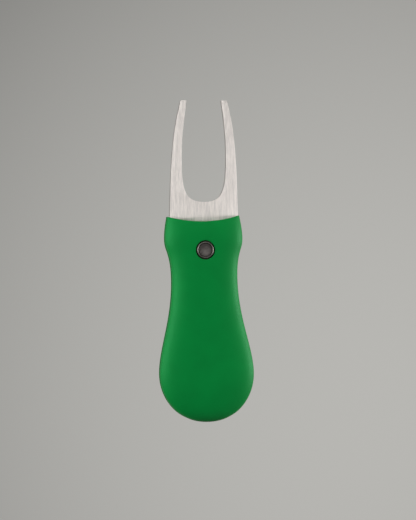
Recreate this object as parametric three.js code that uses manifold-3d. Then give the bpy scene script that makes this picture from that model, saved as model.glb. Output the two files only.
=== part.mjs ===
// A pocket golf pitch-mark repairer: a flat two-prong steel fork that swings out of a green moulded handle
// and is held by a push button on its pivot. Millimetres, +Z up through the front face.
// The pivot axis is the Z axis, the flat back lies on z = 0, and the open fork points along +Y.
import * as THREE from 'three';
import { mergeVertices } from 'three/addons/utils/BufferGeometryUtils.js';
import Module from 'manifold-3d';

const wasm = await Module();
wasm.setup();

// ---------------------------------------------------------------- driving dimensions
const THICKNESS = 12; // flat back to the crown of the front
const SLOT = 2.6; // gap between the two halves of the handle, where the fork folds away
const FORK_THICK = 2;
const LINER_THICK = 0.8;
const OPEN_LEAN = THREE.MathUtils.degToRad(1.4); // play in the lock: the open fork stops this far short of straight

// Half of the handle's outline, from the head's horn to the tail: [end x, end y] and the two curve handles before it.
const HORN = { x: 12.05, y: 11.2 };
const HEAD = { x: 12.98, y: 3.1, before: 4.2, after: 2.8 };
const WAIST = { x: 10.98, y: -9.45, before: 8.4, after: 14 };
const BULB = { x: 15.76, y: -41.35, before: 8.9, after: 7.4 };
const TAIL = { y: -57.28, before: 10.5 };
const HEAD_EDGE = { y: 9.5, radius: 41 }; // the hollow arc across the head, at its lowest point

// Cross section of the two shells.
const CROWN_POWER = 2.5; // of the front's superellipse
const HEAD_FALL = 0.16; // share of its height that the crown loses towards the head's edge
const BACK_LAND = 0.76; // share of the back's half width that is flat

// Fork.
const FORK_BASE = { x: 11.52, y: 7.6 };
const FORK_TIP = { outer: 7.92, inner: 5.76, y: 49.88 };
const PRONG_GAP = { x: 7.38, y: 31.9, floor: 16.05 };
const TANG_R = 9;

// Pivot, lock and button.
const BORE_R = 4.15;
const BUSH = { r: 4, bore: 3, flange: 5, flangeThick: 0.4 };
const KEY = { disc: 4, reach: 6, width: 2.6, thick: 1.3 };
const KEY_PLAY = 0.3; // round the key in its well and in the fork's notches
const STEM_R = 1.5;
const BUTTON = { r: 2.9, hole: 3.2, flange: 3.8, proud: 0.25, dish: 0.35 };
const TRAVEL = 1.4; // of the button

// Springs.
const DRIVE = { wire: 0.6, r: 6.6, turns: 2, pinR: 7.4, pocket: [4.9, 7.9] };
const RETURN = { wire: 0.45, foot: 3.6, top: 2.95, turns: 2.5 };

// Tail fasteners, magnet and marker.
const SCREWS = [[-5.5, -53.2], [5.5, -53.2]];
const SCREW = { r: 0.95, head: 1.8, low: 0.75, headThick: 1.1, clearance: 1.1, sink: 2 };
const INSERT = { r: 1.45, bore: 1.05, thick: 1.3 };
const RIVETS = [[-10.6, 1.5], [-12.2, -38]];
const RIVET = { r: 0.8, head: 1.3, headThick: 0.6 };
const MARKER = { y: -38.5, r: 10, thick: 1.4, well: 1.55, magnetR: 4, magnetThick: 1.8 };

// ---------------------------------------------------------------- levels, worked out from those
const MID = THICKNESS / 2;
const SLOT_LOW = MID - SLOT / 2;
const SLOT_HIGH = MID + SLOT / 2;
const FORK_LOW = MID - FORK_THICK / 2;
const FORK_HIGH = MID + FORK_THICK / 2;
const LINER_BACK = SLOT_LOW - LINER_THICK;
const LINER_FRONT = SLOT_HIGH + LINER_THICK;
const GAP = 0.1; // round loose and seated pieces
const OVER = 1; // how far a cutting tool runs past what it cuts
const FLANGE_TOP = 10.6; // of the button's flange, at rest
const POCKET_TOP = 10.5; // roof of the drive spring's pocket
const KEY_TOP = SLOT_LOW - GAP;
const WELL_FLOOR = 0.9;

// ---------------------------------------------------------------- solids
const FINISH = {
  shell: { color: 0x007a38, roughness: 0.55, metalness: 0 },
  steel: { color: 0xcfcac4, roughness: 0.4, metalness: 1 },
  gunmetal: { color: 0x4b4846, roughness: 0.3, metalness: 1 },
  spring: { color: 0x9a9a98, roughness: 0.35, metalness: 1 },
  brass: { color: 0xb08d4a, roughness: 0.35, metalness: 1 },
  nylon: { color: 0x1c1c1e, roughness: 0.6, metalness: 0 },
  enamel: { color: 0xe9e7e0, roughness: 0.25, metalness: 0 },
};
const materials = Object.fromEntries(
  Object.entries(FINISH).map(([name, look]) => [name, new THREE.MeshStandardMaterial({ name, ...look })]),
);

function toManifold(geometry) {
  const bare = new THREE.BufferGeometry().setAttribute('position', geometry.getAttribute('position'));
  bare.setIndex(geometry.index);
  const merged = mergeVertices(bare, 1e-4);
  return new wasm.Manifold(new wasm.Mesh({
    numProp: 3,
    vertProperties: merged.attributes.position.array,
    triVerts: new Uint32Array(merged.index.array),
  }));
}

function toGeometry(solid) {
  const mesh = solid.getMesh();
  const geometry = new THREE.BufferGeometry();
  geometry.setAttribute('position', new THREE.BufferAttribute(mesh.vertProperties, 3));
  geometry.setIndex(new THREE.BufferAttribute(mesh.triVerts, 1));
  geometry.computeVertexNormals();
  return geometry;
}

function cut(body, ...tools) {
  return tools.reduce((left, tool) => left.subtract(tool), body);
}

function join(...bodies) {
  return bodies.reduce((all, body) => all.add(body));
}

function piece(name, look, solid) {
  const mesh = new THREE.Mesh(toGeometry(solid), materials[look]);
  mesh.name = name;
  return mesh;
}

// A body turned round the Z axis, from a closed profile of [radius, z] that runs up its outside.
function turned(profile, x = 0, y = 0, segments = 32) {
  const closed = [...profile, profile[0]].map(([r, z]) => new THREE.Vector2(r, z));
  return toManifold(new THREE.LatheGeometry(closed, segments).rotateX(Math.PI / 2).translate(x, y, 0));
}

function rod(r, low, high, x = 0, y = 0, segments = 32) {
  const body = new THREE.CylinderGeometry(r, r, high - low, segments);
  return toManifold(body.rotateX(Math.PI / 2).translate(x, y, (low + high) / 2));
}

function tube(inner, outer, low, high, x = 0, y = 0, segments = 32) {
  return turned([[inner, low], [outer, low], [outer, high], [inner, high]], x, y, segments);
}

function block(from, to) {
  const size = to.map((value, i) => value - from[i]);
  const middle = to.map((value, i) => (value + from[i]) / 2);
  return toManifold(new THREE.BoxGeometry(...size).translate(...middle));
}

function slab(shape, low, high, curveSegments = 16) {
  const body = new THREE.ExtrudeGeometry(shape, { depth: high - low, bevelEnabled: false, curveSegments });
  return toManifold(body.translate(0, 0, low));
}

function wire(path, thickness, steps) {
  const section = new THREE.Shape(new THREE.Path().absarc(0, 0, thickness / 2, 0, 2 * Math.PI).getPoints(4));
  return toManifold(new THREE.ExtrudeGeometry(section, { extrudePath: path, steps, bevelEnabled: false }));
}

// A disc with two opposite lugs along X: the lock key, and with play added the hole that it fits.
function keyed(play, low, high) {
  const { disc, reach, width } = KEY;
  const half = width / 2 + play;
  return join(
    rod(disc + play, low, high),
    block([-reach - play, -half, low], [reach + play, half, high]),
  );
}

// ---------------------------------------------------------------- handle outline
const vec = (x, y) => new THREE.Vector2(x, y);

// The right-hand edge as curves from above the horn to the tail.
function edgeCurves() {
  const bezier = (...points) => new THREE.CubicBezierCurve(...points);
  return [
    [new THREE.LineCurve(vec(HORN.x - 0.35, HORN.y + 1.5), vec(HORN.x, HORN.y)), 1],
    [bezier(vec(HORN.x, HORN.y), vec(12.64, 8.02), vec(HEAD.x, HEAD.y + HEAD.before), vec(HEAD.x, HEAD.y)), 4],
    [bezier(vec(HEAD.x, HEAD.y), vec(HEAD.x, HEAD.y - HEAD.after),
      vec(WAIST.x, WAIST.y + WAIST.before), vec(WAIST.x, WAIST.y)), 7],
    [bezier(vec(WAIST.x, WAIST.y), vec(WAIST.x, WAIST.y - WAIST.after),
      vec(BULB.x, BULB.y + BULB.before), vec(BULB.x, BULB.y)), 7],
    [bezier(vec(BULB.x, BULB.y), vec(BULB.x, BULB.y - BULB.after),
      vec(TAIL.before, TAIL.y), vec(0, TAIL.y)), 10],
  ];
}

// Points down the right-hand edge, moved inwards by inset.
function edgePoints(inset = 0) {
  const points = [];
  edgeCurves().forEach(([curve, steps], i) => {
    for (let k = i ? 1 : 0; k <= steps; k += 1) {
      const tangent = curve.getTangent(k / steps);
      const inwards = vec(tangent.y, -tangent.x);
      points.push(curve.getPoint(k / steps).add(inwards.multiplyScalar(inset)));
    }
  });
  points.at(-1).x = 0;
  return points;
}

// What lies beyond the hollow arc across the head, lowered by inset.
function beyondHead(inset = 0) {
  const { y, radius } = HEAD_EDGE;
  return rod(radius + inset, -OVER, THICKNESS + OVER, 0, y + radius, 140);
}

// A flat plate with the handle's outline moved inwards.
function handlePlate(inset, low, high) {
  const right = edgePoints(inset);
  const left = right.slice(0, -1).reverse().map((p) => vec(-p.x, p.y));
  return cut(slab(new THREE.Shape([...left, ...right].reverse()), low, high), beyondHead(inset));
}

// ---------------------------------------------------------------- shells
// Share of the crown's height at a place that is rho of the way from the middle to the edge.
const frontRise = (rho) => (1 - rho ** CROWN_POWER) ** (1 / CROWN_POWER);
function backRise(rho) {
  const out = Math.max(0, (rho - BACK_LAND) / (1 - BACK_LAND));
  return Math.sqrt(Math.max(0, 1 - out ** 2.2));
}

// Lofts a closed body down the handle. Each ring is a half section: it starts and ends on the split face.
function shellBody(split, height, rise, headFall) {
  const across = 16;
  const rows = edgePoints();
  const positions = [];
  const faces = [];
  rows.slice(0, -1).forEach(({ x: half, y }) => {
    const tail = y < BULB.y ? 1 - (half / BULB.x) ** 2 : 0;
    const head = Math.max(0, (y - HEAD.y) / (HEAD_EDGE.y - HEAD.y));
    for (let k = 0; k <= across; k += 1) {
      const u = Math.sin((k / across - 0.5) * Math.PI);
      const rho = Math.min(1, Math.sqrt(u * u * (1 - tail) + tail));
      const up = k % across ? rise(rho) * (1 - headFall * head * head) : 0;
      positions.push(u * half, y, split + height * up);
    }
  });
  const ring = across + 1;
  const last = rows.length - 2;
  const pole = positions.length / 3;
  positions.push(0, TAIL.y, split);
  for (let row = 0; row < last; row += 1) {
    for (let k = 0; k < ring; k += 1) {
      const a = row * ring + k;
      const b = row * ring + ((k + 1) % ring);
      faces.push(a, b, b + ring, a, b + ring, a + ring);
    }
  }
  for (let k = 0; k < ring; k += 1) {
    faces.push(last * ring + k, last * ring + ((k + 1) % ring), pole);
    if (k > 1) faces.push(0, k, k - 1);
  }
  if (height > 0) faces.reverse();
  const body = new THREE.BufferGeometry();
  body.setAttribute('position', new THREE.Float32BufferAttribute(positions, 3));
  body.setIndex(faces);
  return cut(toManifold(body), beyondHead());
}

function frontShell() {
  const button = join(
    rod(BUTTON.hole, SLOT_HIGH - OVER, THICKNESS + OVER),
    rod(BUTTON.flange + 0.3, SLOT_HIGH - OVER, FLANGE_TOP + GAP),
    rod(BUSH.flange + GAP, SLOT_HIGH - OVER, LINER_FRONT + BUSH.flangeThick + GAP),
  );
  const [arbor, wall] = DRIVE.pocket;
  const springPocket = tube(arbor, wall, SLOT_HIGH - OVER, POCKET_TOP);
  const legNotch = block([-9.3, -0.6, SLOT_HIGH - OVER], [-arbor - 1, 0.6, POCKET_TOP]);
  const inserts = SCREWS.map(([x, y]) => (
    rod(INSERT.r + 0.05, SLOT_HIGH - OVER, LINER_FRONT + INSERT.thick + GAP, x, y, 20)));
  const rivetHeads = RIVETS.map(([x, y]) => (
    rod(RIVET.head + GAP, SLOT_HIGH - OVER, LINER_FRONT + RIVET.headThick + GAP, x, y, 16)));
  const linerSeat = handlePlate(0.7, SLOT_HIGH - OVER, LINER_FRONT);
  return piece('front_shell', 'shell', cut(
    shellBody(SLOT_HIGH, THICKNESS - SLOT_HIGH, frontRise, HEAD_FALL),
    linerSeat, button, springPocket, legNotch, ...rivetHeads, ...inserts));
}

function backShell() {
  const keyWell = keyed(KEY_PLAY, WELL_FLOOR, SLOT_LOW + OVER);
  const markerWell = rod(MARKER.r + 0.25, -OVER, MARKER.well, 0, MARKER.y, 48);
  const nailNotch = rod(3.2, -OVER, MARKER.well - 0.3, 0, MARKER.y + MARKER.r + 0.3, 28);
  const magnetWell = rod(MARKER.magnetR + GAP, MARKER.well + 0.4, SLOT_LOW + OVER, 0, MARKER.y, 24);
  const sinks = SCREWS.map(([x, y]) => join(
    rod(SCREW.sink, -OVER, SCREW.low + SCREW.headThick, x, y, 28),
    rod(SCREW.clearance, 0, SLOT_LOW + OVER, x, y, 16)));
  const rivetHeads = RIVETS.map(([x, y]) => (
    rod(RIVET.head + GAP, LINER_BACK - RIVET.headThick - GAP, SLOT_LOW + OVER, x, y, 16)));
  const linerSeat = handlePlate(0.7, LINER_BACK, SLOT_LOW + OVER);
  return piece('back_shell', 'shell', cut(
    shellBody(SLOT_LOW, -SLOT_LOW, backRise, 0),
    linerSeat, keyWell, markerWell, nailNotch, magnetWell, ...rivetHeads, ...sinks));
}

// ---------------------------------------------------------------- steel frame
const frameHoles = (low, high) => [
  ...SCREWS.map(([x, y]) => rod(SCREW.clearance, low, high, x, y, 16)),
  ...RIVETS.map(([x, y]) => rod(RIVET.r + GAP, low, high, x, y, 16)),
];

function frontLiner() {
  const [low, high] = [SLOT_HIGH - OVER, LINER_FRONT + OVER];
  const slack = THREE.MathUtils.degToRad(6);
  const open = Math.PI / 2 - OPEN_LEAN + slack;
  const shut = -Math.PI / 2 - slack;
  const arc = new THREE.Shape();
  arc.absarc(0, 0, DRIVE.pinR + 0.5, open, shut, true);
  arc.absarc(0, 0, DRIVE.pinR - 0.5, shut, open, false);
  return piece('front_liner', 'steel', cut(
    handlePlate(0.8, SLOT_HIGH, LINER_FRONT),
    rod(BUSH.r + 0.05, low, high), slab(arc, low, high, 24), ...frameHoles(low, high)));
}

function backLiner() {
  const [low, high] = [LINER_BACK - OVER, SLOT_LOW + OVER];
  return piece('back_liner', 'steel', cut(
    handlePlate(0.8, LINER_BACK, SLOT_LOW), keyed(KEY_PLAY, low, high), ...frameHoles(low, high)));
}

// Stops the fork's shoulders, one when it is open and the other when it is shut.
function stopBlock() {
  const tall = FORK_BASE.y - 0.1;
  const low = SLOT_LOW - OVER;
  const high = SLOT_HIGH + OVER;
  const side = block([-20, -FORK_BASE.y + 0.3, low], [-6, tall, high]);
  return piece('stop_block', 'steel', cut(
    handlePlate(0.5, SLOT_LOW, SLOT_HIGH).intersect(side),
    rod(TANG_R + 0.35, low, high), ...frameHoles(low, high)));
}

// Fills the slot round the folded prongs, on the side that the fork doesn't swing through.
function tailSpacer() {
  const room = 0.5;
  const sweep = Math.hypot(FORK_TIP.outer, FORK_TIP.y) + 0.7;
  const low = SLOT_LOW - OVER;
  const high = SLOT_HIGH + OVER;
  const foldedEdge = forkOuterCurve().getPoints(14).map((p) => vec(-p.x - room, -p.y));
  const tip = foldedEdge.at(-1);
  const swept = new THREE.Shape([vec(20, 0), ...foldedEdge]);
  swept.absarc(0, 0, sweep, Math.atan2(tip.y, tip.x), 0, false);
  return piece('tail_spacer', 'nylon', cut(
    handlePlate(0.5, SLOT_LOW, SLOT_HIGH).intersect(block([-20, -60, low], [20, -27, high])),
    slab(swept, low, high, 60), block([0, -49.8, low], [20, -20, high]), ...frameHoles(low, high)));
}

function frameRivet([x, y], number) {
  const { r, head, headThick } = RIVET;
  return piece(`frame_rivet_${number}`, 'steel', turned([
    [0, LINER_BACK - headThick], [head, LINER_BACK - headThick], [head, LINER_BACK], [r, LINER_BACK],
    [r, LINER_FRONT], [head, LINER_FRONT], [head, LINER_FRONT + headThick], [0, LINER_FRONT + headThick],
  ], x, y, 16));
}

// ---------------------------------------------------------------- pivot
function pivotBush() {
  const { r, bore, flange, flangeThick } = BUSH;
  return piece('pivot_bush', 'steel', turned([
    [bore, FORK_LOW - 0.05], [r, FORK_LOW - 0.05], [r, LINER_FRONT], [flange, LINER_FRONT],
    [flange, LINER_FRONT + flangeThick], [bore, LINER_FRONT + flangeThick],
  ]));
}

const frontWasher = () => piece('front_washer', 'brass', tube(BUSH.r + GAP, 6.6, FORK_HIGH + 0.05, SLOT_HIGH - 0.05));
const backWasher = () => piece('back_washer', 'brass', tube(6.7, 8.7, SLOT_LOW + 0.05, FORK_LOW - 0.05));

// ---------------------------------------------------------------- fork
// Outer edge of the right-hand prong, from the shoulder to just under the tip's rounded corner.
function forkOuterCurve() {
  return new THREE.CubicBezierCurve(
    vec(FORK_BASE.x, FORK_BASE.y), vec(11.06, 33.8), vec(10.04, 40.6), vec(FORK_TIP.outer, FORK_TIP.y - 0.78));
}

function forkShape() {
  const { outer, inner, y } = FORK_TIP;
  const side = (sign) => {
    const edge = forkOuterCurve().getPoints(18);
    edge.push(vec(outer - 0.2, y - 0.36), vec(outer - 0.8, y - 0.15), vec(inner, y));
    const inside = new THREE.CubicBezierCurve(
      vec(inner, y), vec(6.45, 44.5), vec(PRONG_GAP.x, 38.5), vec(PRONG_GAP.x, PRONG_GAP.y)).getPoints(10);
    const floor = new THREE.CubicBezierCurve(
      vec(PRONG_GAP.x, PRONG_GAP.y), vec(PRONG_GAP.x, 20.6), vec(6.9, PRONG_GAP.floor),
      vec(0, PRONG_GAP.floor)).getPoints(18);
    const all = [...edge, ...inside.slice(1), ...floor.slice(1)];
    return all.map((p) => vec(sign * p.x, p.y));
  };
  const start = Math.asin(FORK_BASE.y / TANG_R);
  const tang = new THREE.Path().absarc(0, 0, TANG_R, Math.PI - start, 2 * Math.PI + start, false).getPoints(40);
  return new THREE.Shape([...tang, ...side(1), ...side(-1).reverse().slice(1)]);
}

function fork() {
  const [low, high] = [FORK_LOW - OVER, FORK_HIGH + OVER];
  const { reach, width } = KEY;
  const half = width / 2 + KEY_PLAY;
  const notches = block([-reach - KEY_PLAY, -half, low], [reach + KEY_PLAY, half, high]);
  const legHole = rod(DRIVE.wire, low, high, 0, DRIVE.pinR, 16);
  return piece('fork', 'steel', cut(
    slab(forkShape(), FORK_LOW, FORK_HIGH), rod(BORE_R, low, high), notches, legHole));
}

// A coil of wire round the pivot. Its lower leg goes down into the fork and its upper leg into the front shell.
function driveSpring() {
  const { wire: thick, r, turns, pinR } = DRIVE;
  const low = LINER_FRONT + 0.15 + thick / 2;
  const start = Math.PI / 2 - OPEN_LEAN;
  const turn = 2 * Math.PI * turns + Math.PI - start;
  const pitch = thick + 0.07;
  const at = (radius, angle, z) => new THREE.Vector3(radius * Math.cos(angle), radius * Math.sin(angle), z);
  const lead = 0.22;
  const points = [at(pinR, start, FORK_LOW + 0.4), at(pinR, start, SLOT_HIGH), at(pinR, start, low - 0.3),
    at(pinR - 0.25, start + lead / 2, low)];
  const bends = Math.round(turns * 12);
  for (let k = 1; k < bends; k += 1) {
    const angle = start + lead + (turn - 2 * lead) * (k / bends);
    points.push(at(r, angle, low + (pitch * (angle - start)) / (2 * Math.PI)));
  }
  const top = low + (pitch * turn) / (2 * Math.PI);
  points.push(at(r + 0.5, start + turn - 0.03, top), at(r + 1.5, start + turn, top), at(r + 2.4, start + turn, top));
  return piece('drive_spring', 'spring', wire(new THREE.CatmullRomCurve3(points), thick, 76));
}

// ---------------------------------------------------------------- button and lock
function releaseButton() {
  const { r, flange, proud, dish } = BUTTON;
  const top = THICKNESS + proud;
  return piece('release_button', 'gunmetal', turned([
    [0, KEY_TOP - KEY.thick - 0.8], [STEM_R, KEY_TOP - KEY.thick - 0.8], [STEM_R, FLANGE_TOP - 0.6],
    [flange, FLANGE_TOP - 0.6], [flange, FLANGE_TOP], [r, FLANGE_TOP], [r, top - 0.45], [r - 0.45, top],
    [r - 0.7, top], [r - 1.05, top - dish * 0.8], [0, top - dish],
  ]));
}

function lockKey() {
  const low = KEY_TOP - KEY.thick;
  return piece('lock_key', 'steel', cut(keyed(0, low, KEY_TOP), rod(STEM_R + 0.05, low - OVER, KEY_TOP + OVER)));
}

function keyClip() {
  const high = KEY_TOP - KEY.thick - 0.05;
  return piece('key_clip', 'spring', cut(
    tube(STEM_R + 0.05, 2.4, high - 0.5, high), block([0, -0.8, 0], [3, 0.8, high + OVER])));
}

function buttonSpring() {
  const { wire: thick, foot, top, turns } = RETURN;
  const low = WELL_FLOOR + thick / 2 + 0.05;
  const high = KEY_TOP - KEY.thick - thick / 2 - 0.05;
  const points = [];
  const bends = turns * 16;
  for (let k = 0; k <= bends; k += 1) {
    const share = k / bends;
    const angle = 2 * Math.PI * turns * share;
    const r = foot + (top - foot) * share;
    points.push(new THREE.Vector3(r * Math.cos(angle), r * Math.sin(angle), low + (high - low) * share));
  }
  return piece('button_spring', 'spring', wire(new THREE.CatmullRomCurve3(points), thick, 44));
}

// ---------------------------------------------------------------- tail
function shellScrew([x, y], number) {
  const { r, head, low, headThick } = SCREW;
  const neck = low + headThick;
  const end = LINER_FRONT + INSERT.thick;
  const body = turned([[0, low], [head - 0.3, low], [head, low + 0.3], [head, neck], [r, neck], [r, end - 0.3],
    [r - 0.3, end], [0, end]], x, y, 20);
  return piece(`shell_screw_${number}`, 'gunmetal', cut(body, rod(0.85, 0, low + 0.7, x, y, 6)));
}

function threadedInsert([x, y], number) {
  return piece(`threaded_insert_${number}`, 'brass', tube(
    INSERT.bore, INSERT.r, LINER_FRONT + 0.05, LINER_FRONT + INSERT.thick, x, y, 20));
}

function magnet() {
  const low = MARKER.well + 0.45;
  return piece('marker_magnet', 'spring', rod(MARKER.magnetR, low, low + MARKER.magnetThick, 0, MARKER.y, 24));
}

function ballMarker() {
  const disc = turned([[0, 0.05], [MARKER.r - 0.3, 0.05], [MARKER.r, 0.35], [MARKER.r, 0.05 + MARKER.thick],
    [0, 0.05 + MARKER.thick]], 0, MARKER.y, 48);
  return piece('ball_marker', 'steel', cut(disc, rod(MARKER.r - 1.6, -OVER, 0.5, 0, MARKER.y, 48)));
}

function markerEnamel() {
  return piece('marker_enamel', 'enamel', rod(MARKER.r - 1.7, 0.12, 0.45, 0, MARKER.y, 48));
}

// ---------------------------------------------------------------- the assembly
const handle = new THREE.Group();
handle.add(
  frontShell(), backShell(), frontLiner(), backLiner(), stopBlock(), tailSpacer(),
  pivotBush(), frontWasher(), backWasher(), driveSpring(), buttonSpring(), magnet());
RIVETS.forEach((place, i) => handle.add(frameRivet(place, i + 1)));
SCREWS.forEach((place, i) => handle.add(shellScrew(place, i + 1), threadedInsert(place, i + 1)));

const swingingFork = new THREE.Group();
swingingFork.rotation.z = -OPEN_LEAN;
swingingFork.add(fork());

const button = new THREE.Group();
button.add(releaseButton(), lockKey(), keyClip());

const marker = new THREE.Group();
marker.add(ballMarker(), markerEnamel());

const repairTool = new THREE.Group();
repairTool.add(handle, swingingFork, button, marker);

export default repairTool;
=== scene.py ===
"""A flip-out pitch-mark repair tool: a green soft-touch handle, a brushed steel fork, and a push button."""

import math

import bmesh
import bpy
from mathutils import Matrix, Vector


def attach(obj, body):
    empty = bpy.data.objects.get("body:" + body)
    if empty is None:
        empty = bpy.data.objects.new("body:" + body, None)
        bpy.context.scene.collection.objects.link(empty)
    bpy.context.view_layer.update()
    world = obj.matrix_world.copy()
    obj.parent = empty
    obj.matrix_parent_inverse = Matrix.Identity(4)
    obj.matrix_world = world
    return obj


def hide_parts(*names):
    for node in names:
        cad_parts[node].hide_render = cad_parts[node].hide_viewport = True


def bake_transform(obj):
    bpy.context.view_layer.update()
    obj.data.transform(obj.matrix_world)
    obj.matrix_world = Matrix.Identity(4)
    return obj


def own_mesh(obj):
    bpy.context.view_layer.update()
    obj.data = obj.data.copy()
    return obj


bl_info = {
    "name": "Pitch-mark repair tool",
    "version": (1, 0, 0),
    "blender": (4, 5, 0),
    "location": "View3D > Sidebar > Repair tool",
    "description": "Models a flip-out pitch-mark repair tool and its studio",
    "category": "Add Mesh",
}

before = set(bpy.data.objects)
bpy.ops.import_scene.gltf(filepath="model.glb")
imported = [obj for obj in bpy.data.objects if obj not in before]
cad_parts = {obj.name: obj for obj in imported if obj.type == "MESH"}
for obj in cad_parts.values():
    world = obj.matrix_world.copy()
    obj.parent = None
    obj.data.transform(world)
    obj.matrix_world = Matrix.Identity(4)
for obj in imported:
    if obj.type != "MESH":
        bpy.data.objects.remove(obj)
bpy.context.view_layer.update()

MM = 0.001
SAME_PLACE = 0.002  # vertices nearer to each other than this, in millimetres, are one
ASIDE = 100  # how far off, in millimetres, a shape is set so that it can't be selected with its neighbours

# Levels in the handle, in millimetres above its flat back.
BACK_SEAM = 4.7
FRONT_SEAM = 7.3
CROWN = 12.0
LINER_BACK = 3.9
LINER_FRONT = 8.1
FORK_LOW = 5.0
FORK_HIGH = 7.0

# Right-hand edge of the handle, from the head's horn to the tail, as joined curves.
HORN_TO_HEAD = ((12.05, 11.2), (12.64, 8.02), (12.98, 7.3), (12.98, 3.1))
HEAD_TO_WAIST = ((12.98, 3.1), (12.98, 0.3), (10.98, -1.05), (10.98, -9.45))
WAIST_TO_BULB = ((10.98, -9.45), (10.98, -23.45), (15.76, -32.45), (15.76, -41.35))
BULB_TO_TAIL = ((15.76, -41.35), (15.76, -48.75), (10.5, -57.28), (0, -57.28))
HANDLE_EDGE = (HORN_TO_HEAD, HEAD_TO_WAIST, WAIST_TO_BULB, BULB_TO_TAIL)
BULB_X, BULB_Y = 15.76, -41.35
HORN_Y = 11.2
HEAD_Y = 9.5  # lowest point of the hollow across the head
HEAD_RADIUS = 41.0  # of that hollow
HEAD_BASE = 3.1  # where the head's straight sides end and the waist begins

# Edges of the right-hand prong, before the fork is leant.
PRONG_OUTSIDE = ((11.52, 7.6), (11.06, 33.8), (10.04, 40.6), (7.92, 49.1))
PRONG_INSIDE = ((7.38, 31.9), (7.38, 38.5), (6.45, 44.5), (5.76, 49.88))
GAP_FLOOR = ((0, 16.05), (6.9, 16.05), (7.38, 20.6), (7.38, 31.9))

TANG_RADIUS = 9
BORE_RADIUS = 4.15
LUG_X, LUG_Y = 6.3, 1.6  # half the span and half the width of the lock key's lugs, with play


def linear(code):
    """An sRGB hex colour as linear red, green and blue."""
    parts = [int(code[i:i + 2], 16) / 255 for i in (1, 3, 5)]
    return tuple(c / 12.92 if c <= 0.04045 else ((c + 0.055) / 1.055) ** 2.4 for c in parts)


# ------------------------------------------------------------------ curves


def bezier(curve, t):
    """A point on a cubic curve."""
    s = 1 - t
    weights = (s ** 3, 3 * s * s * t, 3 * s * t * t, t ** 3)
    return tuple(sum(w * p[i] for w, p in zip(weights, curve)) for i in (0, 1))


def solve(curve, axis, value):
    """The point on a curve where one of its coordinates, which only rises or only falls, has that value."""
    low, high = 0.0, 1.0
    rising = curve[3][axis] > curve[0][axis]
    for _ in range(40):
        middle = (low + high) / 2
        if (bezier(curve, middle)[axis] < value) == rising:
            low = middle
        else:
            high = middle
    return bezier(curve, low)


def half_width(y):
    """Half the handle's width at that height."""
    for curve in HANDLE_EDGE:
        if y >= curve[3][1]:
            return solve(curve, 1, y)[0]
    return 0.0


def tail_y(half):
    """How low the tail's edge lies at that half width."""
    return solve(BULB_TO_TAIL, 0, min(half, BULB_X))[1]


def arc_rise(x):
    """How far the hollow across the head has risen above its lowest point."""
    return HEAD_RADIUS - math.sqrt(HEAD_RADIUS ** 2 - x * x)


# ------------------------------------------------------------------ modelling by hand


def begin(name, add, **settings):
    """Adds a primitive with nothing else selected, and opens it for editing in the frame's coordinates."""
    bpy.ops.object.select_all(action="DESELECT")
    add(**settings)
    obj = bpy.context.object
    obj.name = obj.data.name = name
    bpy.ops.object.transform_apply(location=True, rotation=True, scale=True)
    bpy.ops.object.mode_set(mode="EDIT")
    bpy.ops.mesh.select_mode(type="VERT")
    bpy.ops.mesh.select_all(action="SELECT")
    return obj


def select(obj, test):
    """Selects the vertices whose places in millimetres pass the test, and what lies between them."""
    mesh = bmesh.from_edit_mesh(obj.data)
    bpy.ops.mesh.select_all(action="DESELECT")
    for vertex in mesh.verts:
        vertex.select_set(test(vertex.co / MM))
    mesh.select_flush(True)
    bmesh.update_edit_mesh(obj.data)


def select_at(obj, places):
    """Selects the vertices that stand at these places."""
    select(obj, lambda co: any((co - place).length < SAME_PLACE for place in places))


def translate(x=0.0, y=0.0, z=0.0):
    """Moves what is selected, by millimetres."""
    bpy.ops.transform.translate(value=(x * MM, y * MM, z * MM))


def resize(x=1.0, y=1.0, z=1.0, centre=(0, 0, 0)):
    """Scales what is selected about a place in millimetres."""
    bpy.ops.transform.resize(value=(x, y, z), center_override=[c * MM for c in centre])


def extrude(x=0.0, y=0.0, z=0.0):
    """Draws what is selected out, by millimetres."""
    bpy.ops.mesh.extrude_region_move(TRANSFORM_OT_translate={"value": (x * MM, y * MM, z * MM)})


def close_edit():
    """Faces outwards, doubles merged, and back to object mode."""
    bpy.ops.mesh.select_mode(type="VERT")
    bpy.ops.mesh.select_all(action="SELECT")
    bpy.ops.mesh.remove_doubles(threshold=SAME_PLACE * MM)
    bpy.ops.mesh.normals_make_consistent(inside=False)
    bpy.ops.object.mode_set(mode="OBJECT")


def only(obj):
    """Makes this the one selected and active object."""
    bpy.ops.object.select_all(action="DESELECT")
    obj.select_set(True)
    bpy.context.view_layer.objects.active = obj


def modify(obj, kind, **settings):
    """Adds a modifier and applies it."""
    only(obj)
    modifier = obj.modifiers.new(kind.title(), kind)
    for key, value in settings.items():
        setattr(modifier, key, value)
    bpy.ops.object.modifier_apply(modifier=modifier.name)


def carve(obj, tool, operation="DIFFERENCE"):
    """Cuts the tool out of a piece, or joins it on, and removes the tool."""
    modify(obj, "BOOLEAN", operation=operation, object=tool, solver="EXACT")
    bpy.data.objects.remove(tool)


def smooth(obj, degrees=35):
    """Shades the piece smooth, except across edges sharper than this angle."""
    only(obj)
    bpy.ops.object.shade_smooth_by_angle(angle=math.radians(degrees))


def turned(name, profile, x=0.0, y=0.0, segments=64):
    """A body turned round an upright axis: a disc drawn out ring by ring, each of a radius at a level."""
    (radius, level), *rest = profile
    obj = begin(name, bpy.ops.mesh.primitive_circle_add, vertices=segments, radius=radius * MM,
                fill_type="NGON", location=(x * MM, y * MM, level * MM))
    for next_radius, next_level in rest:
        extrude(z=next_level - level)
        resize(next_radius / radius, next_radius / radius, centre=(x, y, next_level))
        radius, level = next_radius, next_level
    close_edit()
    return obj


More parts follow.
